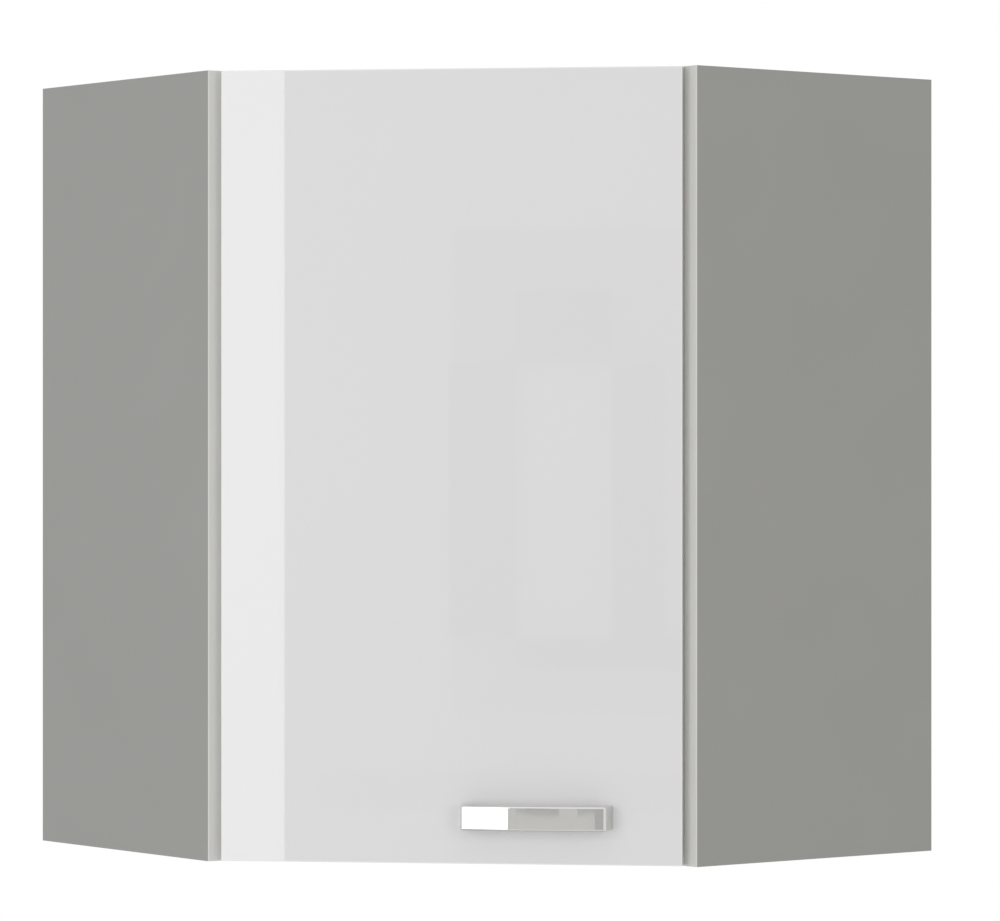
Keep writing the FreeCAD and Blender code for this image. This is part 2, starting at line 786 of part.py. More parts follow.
def plate_screw(seat):
    head = slotted_head(seat, FROM_LEFT_SIDE, plate_screw_head_radius, plate_screw_head_height)
    return joined([plate_screw_shank(seat), head])


def hinge_plate(z):
    """A base screwed to the side and a rib that the arm's channel straddles."""
    base = box(
        plate_x - plate_base_width / 2,
        plate_x + plate_base_width / 2,
        left_face,
        left_face + plate_base,
        z - plate_base_height / 2,
        z + plate_base_height / 2,
    )
    rib_half = arm_width / 2 - plate_rib_play
    rib = box(
        plate_x - plate_rib_length / 2,
        plate_x + plate_rib_length / 2,
        left_face,
        left_face + plate_rise,
        z - rib_half,
        z + rib_half,
    )
    bores = [plate_screw_shank(seat, fitting_play) for seat in plate_screw_places()]
    bores += [arm_screw_shank(seat, thread_play) for seat in arm_screw_places(z)]
    corners = [e for e in base.Edges if e.BoundBox.YLength > plate_base / 2]
    base = base.makeFillet(plate_rounding, corners)
    return joined([base, rib]).cut(bores)


def write_door():
    write("door_panel", on_front(door_panel()))
    write("door_edge_bands", *[on_front(strip) for strip in door_bands()])
    write("handle", on_front(handle()))
    write("handle_screws", *[on_front(handle_screw(p)) for p in handle_screw_places])
    write("door_bumpers", *[on_front(dot) for dot in door_bumpers()])


def write_hinges():
    for name, z in hinge_heights.items():
        write(f"{name}_hinge_cup", on_front(hinge_cup(z)))
        write(f"{name}_hinge_arm", hinge_arm(z))
        write(f"{name}_hinge_plate", hinge_plate(z))
    heights = hinge_heights.values()
    write("hinge_pins", *[on_front(hinge_pin(z)) for z in heights])
    write("hinge_cup_screws", *[on_front(cup_screw(z, side)) for z in heights for side in (-1, 1)])
    write("hinge_plate_screws", *[plate_screw(seat) for seat in plate_screw_places()])
    write("hinge_arm_screws", *[arm_screw(p) for z in heights for p in arm_screw_places(z)])


def main():
    os.makedirs("parts", exist_ok=True)
    write_carcass()
    write_fittings()
    write_door()
    write_hinges()
    axis = front_frame.multVec(Vector(pin_u, pin_v, 0))
    print(f"door axis at x {axis.x:.4f}, y {axis.y:.4f}")


main()
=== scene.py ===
# %% [markdown]
# # Dressing a diagonal corner wall cabinet
# The cabinet comes from CAD as 42 named pieces, already in place and in metres. Blender gives them their
# surfaces, their light and a camera, and never moves them. A fitted kitchen is mostly flat board, so the
# likeness rests on finishes and reflections.

# %% Load the cabinet
import json
import math

import bpy
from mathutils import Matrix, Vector


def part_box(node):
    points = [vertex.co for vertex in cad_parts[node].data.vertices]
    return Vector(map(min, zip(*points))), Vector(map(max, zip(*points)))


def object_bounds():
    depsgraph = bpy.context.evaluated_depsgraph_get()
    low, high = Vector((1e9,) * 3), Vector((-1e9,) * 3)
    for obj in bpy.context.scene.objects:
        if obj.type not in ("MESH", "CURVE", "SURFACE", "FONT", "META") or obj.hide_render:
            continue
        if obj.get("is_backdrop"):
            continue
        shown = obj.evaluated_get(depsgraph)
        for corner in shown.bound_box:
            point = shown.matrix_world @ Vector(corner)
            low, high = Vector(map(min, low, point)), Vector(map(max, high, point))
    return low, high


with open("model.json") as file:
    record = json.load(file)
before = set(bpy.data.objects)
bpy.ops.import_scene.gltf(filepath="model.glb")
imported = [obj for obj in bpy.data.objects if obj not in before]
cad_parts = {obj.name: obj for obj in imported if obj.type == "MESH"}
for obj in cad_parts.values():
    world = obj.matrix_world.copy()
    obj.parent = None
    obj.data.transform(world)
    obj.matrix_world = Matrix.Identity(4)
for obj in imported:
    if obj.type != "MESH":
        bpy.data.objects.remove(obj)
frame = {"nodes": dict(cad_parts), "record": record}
nodes = frame["nodes"]
cad_low, cad_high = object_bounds()
bpy.ops.object.select_all(action="DESELECT")


def rounded(values, places=3):
    """Numbers cut to a few places, for printing."""
    return [round(value, places) for value in values]


print("CAD box", rounded((*cad_low, *cad_high)), "with", len(nodes), "nodes")

# %% [markdown]
# Colours are written as sRGB hex, as a paint chart gives them. Shaders work in linear light, so one
# function converts. Without it every grey would come out too pale.

# %% Colour helper
def linear(code, alpha=1.0):
    """An sRGB hex colour as linear light."""
    parts = [int(code[i : i + 2], 16) / 255 for i in (1, 3, 5)]
    return [c / 12.92 if c <= 0.04045 else ((c + 0.055) / 1.055) ** 2.4 for c in parts] + [alpha]


print("a laminate's grey in linear light:", rounded(linear("#9a9a97")))

# %% [markdown]
# A node graph could be drawn by hand in the Shader Editor. In a script it is easier to read if one
# function adds a node, sets it up and fills its inputs in a single call. What fills inputs also serves
# the shader itself. Most sockets are found by name, and by number where a node uses a name twice. A Mix
# node has a set of sockets for every kind of data, so the numbers of those used here get names.

# %% Node helpers
MM = 0.001
COLOUR_A, COLOUR_B, COLOUR_OUT = 6, 7, 2
FLOAT_A, FLOAT_B = 2, 3


def plug(tree, node, inputs):
    """Fills inputs of a node, each with a value or with another node's output."""
    for socket, value in inputs.items():
        if isinstance(value, bpy.types.NodeSocket):
            tree.links.new(value, node.inputs[socket])
        else:
            node.inputs[socket].default_value = value


def add(tree, kind, inputs=None, **settings):
    """Adds a node with its settings, and fills its inputs."""
    node = tree.nodes.new(kind)
    for name, value in settings.items():
        setattr(node, name, value)
    plug(tree, node, inputs or {})
    return node


print("a pattern of one millimetre has a scale of", 1 / MM, "per metre")

# %% [markdown]
# Every finish starts from a bare material with one Principled shader. Its patterns read Object
# coordinates, which are metres on the piece itself, so a pattern keeps its real size on every board. The
# CAD pieces keep their shapes: a finish only goes into their material slots.

# %% Material helpers
def new_finish(name):
    """A bare material, with its tree, its shader and the coordinates that its patterns read."""
    material = bpy.data.materials.new(name)
    material.use_nodes = True
    tree = material.node_tree
    place = add(tree, "ShaderNodeTexCoord")
    return material, tree, tree.nodes["Principled BSDF"], place


def dress(material, *names):
    """Puts a material in the slots of CAD nodes."""
    for name in names:
        slots = nodes[name].material_slots
        if not slots:
            nodes[name].data.materials.append(material)
        for slot in slots:
            slot.material = material
    print(material.name, "on", ", ".join(names))


print("the pieces have", sum(len(node.material_slots) for node in nodes.values()), "slots to dress")

# %% [markdown]
# The boards are melamine-faced chipboard: wood chips pressed with resin, under a printed paper soaked in
# melamine. The grey face has a fine pearl texture that spreads highlights, and a hardly visible cloud in
# its print. One noise could hold both. Two noises, each at its own scale, keep the pearl crisp, and their
# sum picks the grey.

# %% Grey pearl face
# The pearl is about 0.4 mm on the real face. It is drawn at 1.5 mm, because finer would not show.
PEARL, PRINT_CLOUD = 1.5 * MM, 90 * MM


def pearl_face(tree, here):
    """The colour of the printed face, and the height of its pearl."""
    pearl = add(tree, "ShaderNodeTexNoise", {"Vector": here, "Scale": 1 / PEARL, "Detail": 2.0})
    cloud = add(tree, "ShaderNodeTexNoise", {"Vector": here, "Scale": 1 / PRINT_CLOUD, "Detail": 1.0})
    both = add(tree, "ShaderNodeMath", {0: pearl.outputs["Fac"], 1: cloud.outputs["Fac"]}, operation="ADD")
    spread = add(tree, "ShaderNodeMapRange", {"Value": both.outputs[0], "From Min": 0.6, "From Max": 1.4})
    greys = {0: spread.outputs[0], COLOUR_A: linear("#989895"), COLOUR_B: linear("#9b9b98")}
    colour = add(tree, "ShaderNodeMix", greys, data_type="RGBA")
    return colour.outputs[COLOUR_OUT], pearl.outputs["Fac"]


print("pearl at", round(PEARL / MM, 2), "mm, print cloud at", round(PRINT_CLOUD / MM, 2), "mm")

# %% [markdown]
# Where a saw or a drill has cut the board, the chips show: pale and dark flakes of wood, 1 to 2 mm
# across. A Voronoi texture gives each chip a tone of its own, and a finer noise breaks the chips into
# fibres. A colour ramp turns the product of the two into browns.

# %% Chipboard core
CHIP, FIBRE = 1.7 * MM, 0.9 * MM


def chip_core(tree, here):
    """The colour of the cut core."""
    chips = add(tree, "ShaderNodeTexVoronoi", {"Vector": here, "Scale": 1 / CHIP})
    fibre = add(tree, "ShaderNodeTexNoise", {"Vector": here, "Scale": 1 / FIBRE, "Detail": 3.0})
    tone = add(tree, "ShaderNodeSeparateColor", {"Color": chips.outputs["Color"]})
    mixed = add(tree, "ShaderNodeMath", {0: tone.outputs[0], 1: fibre.outputs["Fac"]}, operation="MULTIPLY")
    ramp = add(tree, "ShaderNodeValToRGB", {"Fac": mixed.outputs[0]})
    for stop, position, brown in zip(ramp.color_ramp.elements, (0.08, 0.5), ("#a3845a", "#cfb78e")):
        stop.position = position
        stop.color = linear(brown)
    return ramp.outputs["Color"]


print("chips at", round(CHIP / MM, 2), "mm, fibres at", round(FIBRE / MM, 2), "mm")

# %% [markdown]
# Face and core could be given to the polygons one by one. Here the surface direction tells them apart, so
# one graph serves each board: where the normal lies across the board's thickness, the surface is a cut
# edge or a bored hole. The lower ends of the boards are sealed in the same grey, so they count as faces.

# %% Cut edges
# A surface looks along an axis if more than this share of its normal lies on it.
ALONG = 0.5


def cut_edges(tree, place, thickness_axis):
    """One where the board is cut, and zero on its faces and on its lower end."""
    normal = add(tree, "ShaderNodeSeparateXYZ", {0: place.outputs["Normal"]})
    share = add(tree, "ShaderNodeMath", {0: normal.outputs[thickness_axis]}, operation="ABSOLUTE")
    across = add(tree, "ShaderNodeMath", {0: share.outputs[0], 1: ALONG}, operation="LESS_THAN")
    not_down = add(tree, "ShaderNodeMath", {0: normal.outputs["Z"], 1: -ALONG}, operation="GREATER_THAN")
    both = {0: across.outputs[0], 1: not_down.outputs[0]}
    return add(tree, "ShaderNodeMath", both, operation="MULTIPLY").outputs[0]


print("cut where less than", ALONG, "of the normal lies along the thickness")

# %% [markdown]
# Face, core and cut come together in one material: the core lies over the face where the board is cut,
# and is dry and matt there. The boards stand in three directions. One material could measure the
# thickness of each. Three materials, made by the same function, are simpler.

# %% Melamine boards
def melamine_board(thickness_axis):
    """Melamine-faced chipboard with its thickness along X, Y or Z."""
    material, tree, shader, place = new_finish(f"grey_melamine_chipboard_{thickness_axis}")
    face, pearl = pearl_face(tree, place.outputs["Object"])
    core = chip_core(tree, place.outputs["Object"])
    cut = cut_edges(tree, place, thickness_axis)
    colour = add(tree, "ShaderNodeMix", {0: cut, COLOUR_A: face, COLOUR_B: core}, data_type="RGBA")
    rough = add(tree, "ShaderNodeMapRange", {"Value": cut, "To Min": 0.42, "To Max": 0.92})
    relief = add(tree, "ShaderNodeBump", {"Strength": 0.12, "Distance": 0.08 * MM, "Height": pearl})
    plug(tree, shader, {"Base Color": colour.outputs[COLOUR_OUT], "Roughness": rough.outputs[0]})
    plug(tree, shader, {"Normal": relief.outputs[0], "IOR": 1.5})
    return material


dress(melamine_board("X"), "right_side_panel", "left_corner_post")
dress(melamine_board("Y"), "left_side_panel", "right_corner_post")
dress(melamine_board("Z"), "top_panel", "bottom_panel", "lower_shelf", "upper_shelf")

# %% [markdown]
# The front edges carry a 1 mm ABS strip, glued on hot and scraped flush. It is lighter than the boards
# and a little shinier, with faint drag lines along its length from the scraper. Stretched noise draws
# them: a Mapping node makes its scale much coarser along the strip.

# %% Light grey edge strips
ACROSS_DRAG, ALONG_DRAG = 1 / (1.6 * MM), 1 / (60 * MM)


def abs_strip(name, drag):
    """Satin ABS with scraper lines, whose scales along X, Y and Z are given."""
    material, tree, shader, place = new_finish(name)
    turned = add(tree, "ShaderNodeMapping", {"Vector": place.outputs["Object"], "Scale": drag}).outputs[0]
    lines = add(tree, "ShaderNodeTexNoise", {"Vector": turned, "Scale": 1.0, "Detail": 2.0}).outputs["Fac"]
    greys = {0: lines, COLOUR_A: linear("#d2d2cf"), COLOUR_B: linear("#dadad7")}
    colour = add(tree, "ShaderNodeMix", greys, data_type="RGBA")
    rough = add(tree, "ShaderNodeMapRange", {"Value": lines, "To Min": 0.3, "To Max": 0.44})
    relief = add(tree, "ShaderNodeBump", {"Strength": 0.1, "Distance": 0.03 * MM, "Height": lines})
    plug(tree, shader, {"Base Color": colour.outputs[COLOUR_OUT], "Roughness": rough.outputs[0]})
    plug(tree, shader, {"Normal": relief.outputs[0], "IOR": 1.53})
    return material


upright_strip = abs_strip("light_grey_abs_strip_upright", (ACROSS_DRAG, ACROSS_DRAG, ALONG_DRAG))
level_strip = abs_strip("light_grey_abs_strip_level", (ALONG_DRAG, ALONG_DRAG, ACROSS_DRAG))
dress(upright_strip, "left_side_edge_band", "right_side_edge_band")
dress(level_strip, "top_edge_band", "bottom_edge_band", "lower_shelf_edge_band", "upper_shelf_edge_band")

# %% [markdown]
# The door stands across the corner at 45 degrees. Two directions describe it: right along its face, and
# into the cabinet. They could be typed in. Worked out from the outer front corners of the two sides, they
# stay right if the cabinet's sizes change.

# %% Directions of the door
left_low, left_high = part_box("left_side_edge_band")
right_low, right_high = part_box("right_side_edge_band")
left_corner = Vector((left_high.x, left_low.y, 0))
right_corner = Vector((right_high.x, right_low.y, 0))
right = (right_corner - left_corner).normalized()
into_cabinet = Vector((-right.y, right.x, 0))
door_turn = math.atan2(right.y, right.x)
print("right along the door", rounded(right), "at", round(math.degrees(door_turn), 2), "degrees")

# %% [markdown]
# The door is a board with a high-gloss white face. Its look is almost all reflection: a sharp image of the
# room at about four per cent, over clean white. So the roughness is very low, and the body colour carries
# only a breath of cloud. The rear is plain matt melamine, as on most such doors. As on the boards, the
# surface direction tells the two apart. The edge strips are the same gloss white in ABS.

# %% White high gloss
GLOSS_CLOUD = 160 * MM
# A surface belongs to the rear if more than this share of its normal points into the cabinet.
REAR_FROM = 0.9
MATT = 0.4


def gloss_white(name, light, dark, roughness):
    """Gloss white with the faintest cloud in its colour and in its gloss, and matt behind."""
    material, tree, shader, place = new_finish(name)
    here, normal = place.outputs["Object"], place.outputs["Normal"]
    noise = add(tree, "ShaderNodeTexNoise", {"Vector": here, "Scale": 1 / GLOSS_CLOUD, "Detail": 2.0})
    cloud = noise.outputs["Fac"]
    whites = {0: cloud, COLOUR_A: linear(dark), COLOUR_B: linear(light)}
    colour = add(tree, "ShaderNodeMix", whites, data_type="RGBA")
    haze = {"Value": cloud, "To Min": roughness * 0.7, "To Max": roughness * 1.3}
    gloss = add(tree, "ShaderNodeMapRange", haze)
    inward = add(tree, "ShaderNodeVectorMath", {0: normal, 1: into_cabinet}, operation="DOT_PRODUCT")
    rear = add(tree, "ShaderNodeMath", {0: inward.outputs["Value"], 1: REAR_FROM}, operation="GREATER_THAN")
    rough = add(tree, "ShaderNodeMix", {0: rear.outputs[0], FLOAT_A: gloss.outputs[0], FLOAT_B: MATT})
    plug(tree, shader, {"Base Color": colour.outputs[COLOUR_OUT], "Roughness": rough.outputs[0], "IOR": 1.5})
    return material


dress(gloss_white("white_high_gloss_laminate", "#e2e2e4", "#e1e1e2", roughness=0.012), "door_panel")
dress(gloss_white("white_high_gloss_abs", "#efefee", "#ececeb", roughness=0.06), "door_edge_bands")

# %% [markdown]
# The handle is a zinc casting with polished chrome plate. Chromium sends back about two thirds of the
# light, evenly over the colours, so it shows mostly by what it mirrors: white where that is a lamp and
# grey where it is the room. A plain mirror would look drawn, so a very light polishing haze varies its
# roughness.

# %% Polished chrome
HAZE = 14 * MM
chrome, tree, shader, place = new_finish("polished_chrome_plate")
haze = add(tree, "ShaderNodeTexNoise", {"Vector": place.outputs["Object"], "Scale": 1 / HAZE, "Detail": 3.0})
rough = add(tree, "ShaderNodeMapRange", {"Value": haze.outputs["Fac"], "To Min": 0.015, "To Max": 0.035})
greys = {0: haze.outputs["Fac"], COLOUR_A: linear("#d3d2d0"), COLOUR_B: linear("#d8d7d5")}
tone = add(tree, "ShaderNodeMix", greys, data_type="RGBA")
plug(tree, shader, {"Base Color": tone.outputs[COLOUR_OUT], "Roughness": rough.outputs[0], "Metallic": 1.0})
dress(chrome, "handle")

# %% [markdown]
# The hidden fittings are metal too, each with its own skin: nickel plate is warm and satin, zinc plate is
# cool and clouded, and raw zinc casting is dull and grainy. Three graphs would differ only in numbers, so
# one function serves all three, with the size and the depth of the clouding in millimetres.

# %% Nickel, zinc plate and raw casting
def plated(name, light, dark, roughness, cloud_mm, relief_mm):
    """A metal skin whose colour and roughness cloud together."""
    material, tree, shader, place = new_finish(name)
    pattern = {"Vector": place.outputs["Object"], "Scale": 1 / (cloud_mm * MM), "Detail": 4.0}
    cloud = add(tree, "ShaderNodeTexNoise", pattern).outputs["Fac"]
    tones = {0: cloud, COLOUR_A: linear(dark), COLOUR_B: linear(light)}
    colour = add(tree, "ShaderNodeMix", tones, data_type="RGBA")
    haze = {"Value": cloud, "To Min": roughness * 1.25, "To Max": roughness * 0.75}
    rough = add(tree, "ShaderNodeMapRange", haze)
    relief = add(tree, "ShaderNodeBump", {"Strength": 0.2, "Distance": relief_mm * MM, "Height": cloud})
    plug(tree, shader, {"Base Color": colour.outputs[COLOUR_OUT], "Roughness": rough.outputs[0]})
    plug(tree, shader, {"Normal": relief.outputs[0], "Metallic": 1.0})
    return material


by_slot = {}
for row in frame["record"]["subparts"]:
    by_slot.setdefault(row["material_slot"], []).append(row["node"])
nickel = plated("nickel_plated_steel", "#cdc8bd", "#bbb5a9", roughness=0.24, cloud_mm=5.0, relief_mm=0.02)
zinc = plated("zinc_plated_steel", "#c9cdd2", "#aeb3b9", roughness=0.32, cloud_mm=2.5, relief_mm=0.03)
casting = plated("raw_zinc_casting", "#adb0b2", "#8e9193", roughness=0.5, cloud_mm=0.9, relief_mm=0.06)
dress(nickel, *by_slot["nickel_steel"])
dress(zinc, *by_slot["zinc_steel"])
dress(casting, *by_slot["zinc_casting"])

# %% [markdown]
# The backs are 3 mm fibreboard: lacquered grey on the side that shows when the door is open, and raw
# brown towards the wall and at the edges. As on the boards, the direction of the surface picks the side.

# %% Lacquered fibreboard
FELT = 2.2 * MM


def fibreboard(axis, sign):
    """Thin fibreboard whose raw side looks along a signed axis."""
    material, tree, shader, place = new_finish(f"lacquered_fibreboard_{axis}")
    pattern = {"Vector": place.outputs["Object"], "Scale": 1 / FELT, "Detail": 5.0, "Distortion": 1.2}
    fibres = add(tree, "ShaderNodeTexNoise", pattern).outputs["Fac"]
    greys = {0: fibres, COLOUR_A: linear("#a8a8a5"), COLOUR_B: linear("#b0b0ad")}
    browns = {0: fibres, COLOUR_A: linear("#7a5a3c"), COLOUR_B: linear("#a98a64")}
    grey = add(tree, "ShaderNodeMix", greys, data_type="RGBA").outputs[COLOUR_OUT]
    brown = add(tree, "ShaderNodeMix", browns, data_type="RGBA").outputs[COLOUR_OUT]
    normal = add(tree, "ShaderNodeSeparateXYZ", {0: place.outputs["Normal"]})
    facing = add(tree, "ShaderNodeMath", {0: normal.outputs[axis], 1: sign}, operation="MULTIPLY")
    raw = add(tree, "ShaderNodeMath", {0: facing.outputs[0], 1: -ALONG}, operation="GREATER_THAN").outputs[0]
    colour = add(tree, "ShaderNodeMix", {0: raw, COLOUR_A: grey, COLOUR_B: brown}, data_type="RGBA")
    rough = add(tree, "ShaderNodeMapRange", {"Value": raw, "To Min": 0.4, "To Max": 0.85})
    relief = add(tree, "ShaderNodeBump", {"Strength": 0.15, "Distance": 0.1 * MM, "Height": fibres})
    plug(tree, shader, {"Base Color": colour.outputs[COLOUR_OUT], "Roughness": rough.outputs[0]})
    plug(tree, shader, {"Normal": relief.outputs[0]})
    return material


dress(fibreboard("Y", sign=1.0), "right_back_board")
dress(fibreboard("X", sign=-1.0), "left_back_board")

# %% [markdown]
# The hangers' housings are moulded white plastic. The mould is spark-eroded, which leaves a fine matt
# texture. A photograph of it could be wrapped round the piece. Noise used for both tone and height needs
# no picture.

# %% Moulded white plastic
SPARK = 0.8 * MM
plastic, tree, shader, place = new_finish("moulded_white_plastic")
matt = add(tree, "ShaderNodeTexNoise", {"Vector": place.outputs["Object"], "Scale": 1 / SPARK, "Detail": 2.0})
whites = {0: matt.outputs["Fac"], COLOUR_A: linear("#dededa"), COLOUR_B: linear("#e8e8e4")}
tone = add(tree, "ShaderNodeMix", whites, data_type="RGBA")
relief = add(tree, "ShaderNodeBump", {"Strength": 0.2, "Distance": 0.05 * MM, "Height": matt.outputs["Fac"]})
plug(tree, shader, {"Base Color": tone.outputs[COLOUR_OUT], "Normal": relief.outputs[0], "Roughness": 0.45})
dress(plastic, *by_slot["white_plastic"])

# %% [markdown]
# The dowels are turned beech, a pale, even wood with short fine flecks. A long grain could be stretched
# along them, but a dowel is only a few centimetres long, so noise at the size of the flecks is enough.

# %% Beech dowels
FLECK = 1.2 * MM
beech, tree, shader, place = new_finish("beech_dowel")
here = place.outputs["Object"]
flecks = add(tree, "ShaderNodeTexNoise", {"Vector": here, "Scale": 1 / FLECK, "Detail": 4.0})
browns = {0: flecks.outputs["Fac"], COLOUR_A: linear("#b98a58"), COLOUR_B: linear("#dcb98c")}
tone = add(tree, "ShaderNodeMix", browns, data_type="RGBA")
plug(tree, shader, {"Base Color": tone.outputs[COLOUR_OUT], "Roughness": 0.6})
dress(beech, *by_slot["beech"])

# %% [markdown]
# The bumpers are soft clear silicone. Full glass would look too hard, so only part of the light passes
# through, and a bloom of dust on the skin varies the roughness.

# %% Clear silicone bumpers
BLOOM = 1.5 * MM
silicone, tree, shader, place = new_finish("soft_clear_silicone")
here = place.outputs["Object"]
bloom = add(tree, "ShaderNodeTexNoise", {"Vector": here, "Scale": 1 / BLOOM, "Detail": 2.0})
rough = add(tree, "ShaderNodeMapRange", {"Value": bloom.outputs["Fac"], "To Min": 0.25, "To Max": 0.45})
plug(tree, shader, {"Roughness": rough.outputs[0], "Base Color": linear("#e6e8ea")})
plug(tree, shader, {"Transmission Weight": 0.7, "IOR": 1.41})
dress(silicone, *by_slot["clear_silicone"])

# %% [markdown]
# The cabinet hangs on a wall, so the pale floor lies 1.4 m below it and stays out of the picture. A floor
# could be one square plane, but its edge would show as a line from above. Here a disc is inset and its
# middle is raised, so that the rim slopes away.

# %% Floor disc
floor_place, floor_radius = (0.44, -0.44, -1.45), 2.4
rim_width, rim_drop = 0.4, 0.05
bpy.ops.mesh.primitive_circle_add(vertices=96, radius=floor_radius, fill_type="NGON", location=floor_place)
floor = bpy.context.object
floor.name = "studio_floor"
bpy.ops.object.mode_set(mode="EDIT")
bpy.ops.mesh.select_all(action="SELECT")
bpy.ops.mesh.inset(thickness=rim_width)
bpy.ops.transform.translate(value=(0, 0, rim_drop))
bpy.ops.object.mode_set(mode="OBJECT")
bpy.ops.object.transform_apply(location=True, rotation=True, scale=True)
floor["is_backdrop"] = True
heights = [vertex.co.z for vertex in floor.data.vertices]
print("floor from", round(min(heights), 3), "to", round(max(heights), 3), "m")

# %% [markdown]
# The floor's paint fades out towards the rim, so that it melts into the white room. A Transparent shader
# is mixed in by the distance from the middle. Seen from below the floor is clear all over, so that the
# camera looks through it at the underside of the cabinet.

# %% Floor paint
MOTTLE = 400 * MM
FADE_FROM, FADE_TO = 0.5, 0.95 * floor_radius
paint, tree, shader, place = new_finish("pale_studio_floor")
here = place.outputs["Object"]
mottle = add(tree, "ShaderNodeTexNoise", {"Vector": here, "Scale": 1 / MOTTLE, "Detail": 2.0})
whites = {0: mottle.outputs["Fac"], COLOUR_A: linear("#e9e9e8"), COLOUR_B: linear("#efefee")}
tone = add(tree, "ShaderNodeMix", whites, data_type="RGBA")
plug(tree, shader, {"Base Color": tone.outputs[COLOUR_OUT], "Roughness": 0.7})
reach = add(tree, "ShaderNodeVectorMath", {0: here, 1: floor_place}, operation="DISTANCE").outputs["Value"]
ring = {"Value": reach, "From Min": FADE_FROM, "From Max": FADE_TO}
fade = add(tree, "ShaderNodeMapRange", ring, interpolation_type="SMOOTHSTEP").outputs[0]
below = add(tree, "ShaderNodeNewGeometry").outputs["Backfacing"]
gone = add(tree, "ShaderNodeMath", {0: fade, 1: below}, operation="MAXIMUM").outputs[0]
clear = add(tree, "ShaderNodeBsdfTransparent")
either = add(tree, "ShaderNodeMixShader", {0: gone, 1: shader.outputs[0], 2: clear.outputs[0]})
plug(tree, tree.nodes["Material Output"], {"Surface": either.outputs[0]})
floor.data.materials.append(paint)
print(paint.name, "fades from", FADE_FROM, "to", FADE_TO, "m")

# %% [markdown]
# The camera and the lamps are easy to place in a frame of the door's own: u runs to the right along the
# door, v into the cabinet, and z up, from the middle of the front between the sides, at its foot. The
# camera's place was found from the corners of the boards in the photograph. It is a long lens, nearly
# square to the door, so the sides hardly narrow towards the wall.

# %% Camera
front_middle = (left_corner + right_corner) / 2


def front_point(u, v, z):
    """A point in the door's frame, in millimetres, as a place in metres."""
    return front_middle + (right * u + into_cabinet * v + Vector((0, 0, z))) * MM


IMAGE_WIDTH, IMAGE_HEIGHT = 1000, 921
UPRIGHT = math.radians(90)
focal_pixels, aim_row = 4745.2, 442.1
turn, distance = math.radians(7.695), 4282.9
aim_u, eye_height = 44.9, 381.56
camera_data = bpy.data.cameras.new("long_lens")
camera_data.sensor_width = 36.0
camera_data.lens = focal_pixels / IMAGE_WIDTH * camera_data.sensor_width
camera_data.shift_y = (aim_row - IMAGE_HEIGHT / 2) / IMAGE_WIDTH
camera_data.clip_end = 100.0
camera = bpy.data.objects.new("long_lens", camera_data)
bpy.context.scene.collection.objects.link(camera)
camera.location = front_point(aim_u + distance * math.sin(turn), -distance * math.cos(turn), eye_height)
camera.rotation_euler = (UPRIGHT, 0, door_turn + turn)
bpy.context.scene.camera = camera
print("camera at", rounded(camera.location), "with a lens of", round(camera_data.lens, 1), "mm")

# %% [markdown]
# A tall softbox stands to the left of the camera. The door mirrors its near edge as the brighter band
# along the hinge side, and the bowed handle mirrors it in its left third. A softbox at the front right
# fills the other side, and a panel overhead lifts the upper parts. The rest of the light is the white
# room itself. A lamp's power could be set in watts by eye. Here it follows from the brightness of its
# cloth, so a larger box looks the same in the mirrors and only lights more.

# %% Softboxes
def softbox(name, place, aim, width, height, radiance, tint="#ffffff"):
    """A rectangular lamp that looks at a point, with its size in millimetres and its cloth's radiance."""
    lamp = bpy.data.lights.new(name, "AREA")
    lamp.shape = "RECTANGLE"
    lamp.size, lamp.size_y = width * MM, height * MM
    lamp.energy = radiance * math.pi * lamp.size * lamp.size_y
    lamp.color = linear(tint)[:3]
    holder = bpy.data.objects.new(name, lamp)
    bpy.context.scene.collection.objects.link(holder)
    holder.location = place
    holder.rotation_euler = (aim - place).to_track_quat("-Z", "Y").to_euler()
    holder.visible_camera = False
    print(name, "at", rounded(place, 2), "with", round(lamp.energy, 1), "W")
    return holder


mid_height, near_edge, tall_distance, tall_width = 360, -638, 2680, 1300
tall_middle = near_edge - tall_width / 2
tall_place = front_point(tall_middle, -tall_distance, mid_height)
tall_aim = front_point(tall_middle, 0, mid_height)
softbox("tall_softbox", tall_place, tall_aim, tall_width, height=1900, radiance=2.84)

fill_place, fill_aim = front_point(1900, -2600, 500), front_point(320, 100, mid_height)
fill = softbox("side_fill", fill_place, fill_aim, width=1200, height=1600, radiance=2.12, tint="#fffaf1")
# A fill only lightens shade. Seen in the chrome, it would be a second white streak.
fill.visible_glossy = False

panel_place, panel_aim = front_point(0, -1200, 2600), front_point(0, 0, mid_height)
softbox("overhead_panel", panel_place, panel_aim, width=1600, height=1200, radiance=0.4)

# %% [markdown]
# Chrome and gloss show what stands in front of them, and in a studio that is seldom bare white. A roll of
# paper hangs behind the camera and sweeps forward at its foot. A lamp can't do its work, because lamps
# only add light to what lies behind them. The paper starts as a plane that looks at the door.

# %% Paper plane
facing_door = (UPRIGHT, 0, door_turn + math.pi)
screen_distance, screen_width, screen_height = 4600, 2.8, 3.0
screen_middle = front_point(0, -screen_distance, mid_height)
bpy.ops.mesh.primitive_plane_add(size=1.0, location=screen_middle, rotation=facing_door)
screen = bpy.context.object
screen.name = "paper_screen"
screen.scale = (screen_width, screen_height, 1)
bpy.ops.object.transform_apply(location=True, rotation=True, scale=True)
print("the paper looks along", rounded(screen.data.polygons[0].normal, 2))

# %% [markdown]
# The lower edge is extruded forward, and the corner is bevelled round. In a script, a vertex or a face is
# picked by its place, as by a click, and the operators then act on what is picked.

